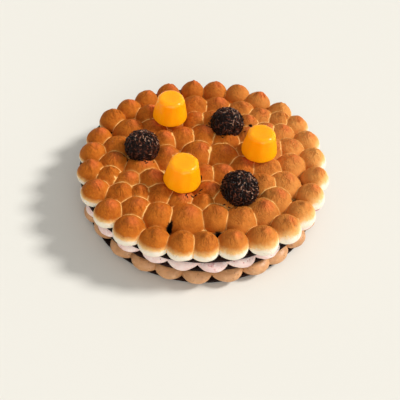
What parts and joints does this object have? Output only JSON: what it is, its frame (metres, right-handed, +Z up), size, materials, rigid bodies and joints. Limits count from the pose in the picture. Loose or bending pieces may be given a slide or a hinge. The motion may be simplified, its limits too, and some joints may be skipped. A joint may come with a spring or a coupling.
{
  "type": "layer cake",
  "caption": "Round layer cake: thin chocolate discs, rings of piped praline and berry cream balls, toasted meringue kisses on top, decorated with yolk jelly cones and chocolate truffles.",
  "frame": {"origin": "centre of the underside of the base disc", "axes": "+Z up through the middle of the cake, -Y towards the viewer, +X to the viewer's right"},
  "size_m": [0.1946, 0.1949, 0.0637],
  "materials": {
    "dark_chocolate": "smooth dark chocolate",
    "praline_cream": "soft set cream with small nut specks",
    "berry_cream": "soft set cream with dark berry specks",
    "toasted_meringue": "browned on top, white low on the outside",
    "yolk_jelly": "moist and slightly translucent",
    "truffle_chocolate": "rolled in dark chocolate sprinkles"
  },
  "bodies": {
    "root": {"disc_base": "dark_chocolate", "cream_praline": "praline_cream", "disc_middle": "dark_chocolate", "cream_berry": "berry_cream", "disc_upper": "dark_chocolate", "meringue_top": "toasted_meringue", "jelly_cone_1": "yolk_jelly", "jelly_cone_2": "yolk_jelly", "jelly_cone_3": "yolk_jelly", "truffle_1": "truffle_chocolate", "truffle_2": "truffle_chocolate", "truffle_3": "truffle_chocolate"}
  },
  "joints": []
}
